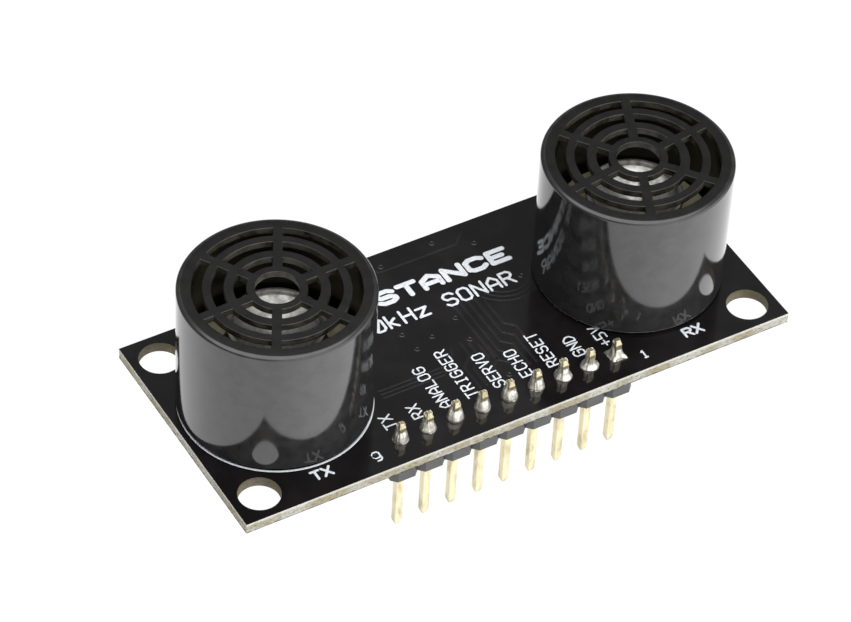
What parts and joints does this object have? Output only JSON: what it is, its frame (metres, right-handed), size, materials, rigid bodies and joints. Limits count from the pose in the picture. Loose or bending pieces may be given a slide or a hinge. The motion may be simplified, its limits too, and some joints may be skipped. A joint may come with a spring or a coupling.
{
  "type": "ultrasonic distance sensor",
  "caption": "Ultrasonic distance sensor with round slotted transducer cans on a rectangular circuit board, a straight pin header below and corner mounting holes.",
  "frame": {"origin": "centre of the four-hole mounting pattern, on the underside of the circuit board", "axes": "+X along the board from the transmitter to the receiver, +Y away from the pin header, +Z towards the transducers, which is the way the sensor looks"},
  "size_m": [0.051, 0.022, 0.0224],
  "materials": {
    "board_mask": "glossy black solder mask over glass-epoxy laminate",
    "header_plastic": "satin moulded black",
    "pin_gold": "thin pale gold plating",
    "solder": "bright wetted tin solder",
    "can_plastic": "glossy moulded wall, fine matte grille",
    "base_resin": "tan moulded resin",
    "silicone": "soft translucent white",
    "plate_brass": "rolled",
    "piezo_ceramic": "silvered ceramic",
    "cone_aluminium": "spun, satin",
    "terminal_tin": "tinned",
    "wire_copper": "enamelled copper",
    "chip_epoxy": "moulded epoxy",
    "lead_tin": "tin plated",
    "crystal_can": "drawn can, satin",
    "led_lens": "clear over pale phosphor",
    "switch_plastic": "moulded",
    "switch_metal": "rolled strip",
    "button_plastic": "moulded",
    "resistor_body": "glazed black with tinned ends",
    "capacitor_body": "fired tan with tinned ends",
    "tantalum_body": "moulded ochre with a polarity bar"
  },
  "bodies": {
    "board_assembly": {"amplifier_body": "chip_epoxy", "amplifier_leads": "lead_tin", "chip_capacitors": "capacitor_body", "chip_resistors": "resistor_body", "circuit_board": "board_mask", "crystal": "crystal_can", "header_housing": "header_plastic", "header_pin_1": "pin_gold", "header_pin_2": "pin_gold", "header_pin_3": "pin_gold", "header_pin_4": "pin_gold", "header_pin_5": "pin_gold", "header_pin_6": "pin_gold", "header_pin_7": "pin_gold", "header_pin_8": "pin_gold", "header_pin_9": "pin_gold", "microcontroller_body": "chip_epoxy", "microcontroller_leads": "lead_tin", "mode_switch_base": "switch_plastic", "mode_switch_cover": "switch_metal", "mode_switch_dome": "switch_metal", "mode_switch_terminals": "switch_metal", "receiver_base": "base_resin", "receiver_housing": "can_plastic", "receiver_lead_wires": "wire_copper", "receiver_piezo_disc": "piezo_ceramic", "receiver_resonator_cone": "cone_aluminium", "receiver_silicone_ring": "silicone", "receiver_terminal_solder": "solder", "receiver_terminals": "terminal_tin", "receiver_vibrator_plate": "plate_brass", "serial_transceiver_body": "chip_epoxy", "serial_transceiver_leads": "lead_tin", "solder_joint_1": "solder", "solder_joint_2": "solder", "solder_joint_3": "solder", "solder_joint_4": "solder", "solder_joint_5": "solder", "solder_joint_6": "solder", "solder_joint_7": "solder", "solder_joint_8": "solder", "solder_joint_9": "solder", "status_led": "led_lens", "tantalum_capacitors": "tantalum_body", "temperature_sensor_body": "chip_epoxy", "temperature_sensor_leads": "lead_tin", "transistor_bodies": "chip_epoxy", "transistor_leads": "lead_tin", "transmitter_base": "base_resin", "transmitter_housing": "can_plastic", "transmitter_lead_wires": "wire_copper", "transmitter_piezo_disc": "piezo_ceramic", "transmitter_resonator_cone": "cone_aluminium", "transmitter_silicone_ring": "silicone", "transmitter_terminal_solder": "solder", "transmitter_terminals": "terminal_tin", "transmitter_vibrator_plate": "plate_brass"},
    "mode_button": {"mode_switch_button": "button_plastic"}
  },
  "joints": [
    {"name": "mode_button_press", "type": "slide", "parent": "board_assembly", "child": "mode_button", "axis": [0, 0, 1], "range_m": [0, 0.00025], "stiffness_N_per_m": 6400, "deforming": ["mode_switch_dome"]}
  ]
}
